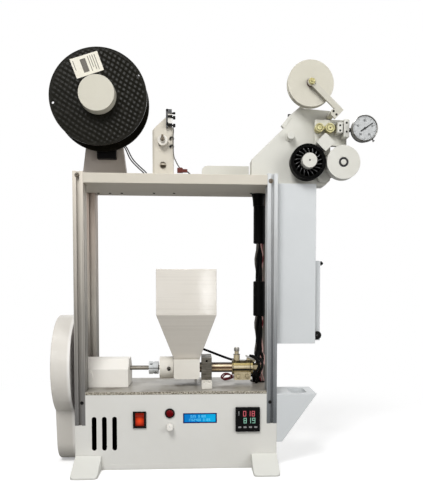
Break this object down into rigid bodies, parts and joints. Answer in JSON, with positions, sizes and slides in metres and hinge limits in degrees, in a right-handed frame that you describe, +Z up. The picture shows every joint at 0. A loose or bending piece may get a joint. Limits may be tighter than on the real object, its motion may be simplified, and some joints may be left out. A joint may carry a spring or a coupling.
{
  "type": "filament extruder",
  "caption": "Bench-top filament extruder: hopper and heated barrel on a base housing, aluminium frame, winder deck with a spool, and a puller head with a dial gauge.",
  "frame": {"origin": "on the floor, under the middle of the machine's bounding box", "axes": "+Z up, the control panel faces -Y, the belt cover is at -X and the dial gauge at +X"},
  "size_m": [0.6355, 0.318, 0.821],
  "materials": {
    "paint": "satin off-white paint over printed plastic",
    "cool_paint": "satin cool white paint",
    "alloy": "drawn, with fine lines along its length",
    "plate_steel": "worn and chipped at the edge",
    "steel": "machined, heat tinted",
    "brass": "bright with dark tarnish",
    "black_plastic": "moulded",
    "cable": "satin sheath",
    "switch_red": "clear red",
    "display_blue": "lit window"
  },
  "bodies": {
    "machine": {"base_housing": "paint", "base_plate": "plate_steel", "foot_front_left": "paint", "foot_front_right": "paint", "foot_rear_left": "paint", "foot_rear_right": "paint", "column_front_left": "alloy", "column_front_right": "alloy", "column_rear_left": "alloy", "column_rear_right": "alloy", "top_deck": "paint", "belt_cover": "paint", "belt_flange": "black_plastic", "switch_bezel": "black_plastic", "indicator_lamp": "switch_red", "lcd_display": "display_blue", "temperature_meter": "black_plastic", "gearbox": "paint", "thrust_collar": "paint", "feed_block": "paint", "hopper": "paint", "barrel_clamp": "steel", "clamp_foot": "cool_paint", "barrel": "steel", "heater_band": "brass", "nozzle": "brass", "heater_leads": "cable", "cable_bundle": "cable", "spool_pedestal": "paint", "winder_drive": "black_plastic", "guide_post": "paint", "limit_switch": "black_plastic", "deck_leads": "cable", "deck_box": "paint", "puller_housing": "paint", "guide_arm": "paint", "guide_axle": "brass", "gauge_bracket": "cool_paint", "gauge_rollers": "brass", "dial_gauge": "alloy", "filament_guide": "paint", "idler_arm": "paint", "side_box": "cool_paint", "side_plate": "cool_paint", "filament_chute": "cool_paint"},
    "spool": {"spool_front_flange": "black_plastic", "spool_drum": "black_plastic", "spool_rear_flange": "black_plastic", "hub_cap": "paint"},
    "guide_wheel": {"guide_wheel": "paint"},
    "drive_wheel": {"drive_wheel": "black_plastic", "drive_hub": "paint"},
    "idler_wheel": {"idler_wheel": "paint"},
    "screw": {"drive_shaft": "steel", "shaft_coupling": "cool_paint"},
    "speed_knob": {"speed_knob": "paint"},
    "power_rocker": {"switch_rocker": "switch_red"},
    "guide_roller": {"guide_roller": "paint"}
  },
  "joints": [
    {"name": "spool_spin", "type": "hinge", "parent": "machine", "child": "spool", "pos_m": [-0.22325, -0.022, 0.7265], "axis": [0, 1, 0], "continuous": true},
    {"name": "guide_wheel_spin", "type": "hinge", "parent": "machine", "child": "guide_wheel", "pos_m": [0.18875, -0.08, 0.751], "axis": [0, 1, 0], "continuous": true},
    {"name": "drive_wheel_spin", "type": "hinge", "parent": "machine", "child": "drive_wheel", "pos_m": [0.18438, -0.082, 0.6], "axis": [0, 1, 0], "continuous": true},
    {"name": "idler_wheel_spin", "type": "hinge", "parent": "machine", "child": "idler_wheel", "pos_m": [0.25362, -0.082, 0.6], "axis": [0, 1, 0], "continuous": true},
    {"name": "guide_roller_spin", "type": "hinge", "parent": "machine", "child": "guide_roller", "pos_m": [-0.09825, -0.062, 0.642], "axis": [0, 1, 0], "continuous": true},
    {"name": "screw_spin", "type": "hinge", "parent": "machine", "child": "screw", "pos_m": [-0.12125, 0, 0.188], "axis": [1, 0, 0], "continuous": true},
    {"name": "speed_knob_turn", "type": "hinge", "parent": "machine", "child": "speed_knob", "pos_m": [-0.08455, -0.103, 0.084], "axis": [0, 1, 0], "range_deg": [-140, 140]},
    {"name": "power_rocker_tilt", "type": "hinge", "parent": "machine", "child": "power_rocker", "pos_m": [-0.14325, -0.09, 0.0984], "axis": [1, 0, 0], "range_deg": [-18, 0]}
  ]
}
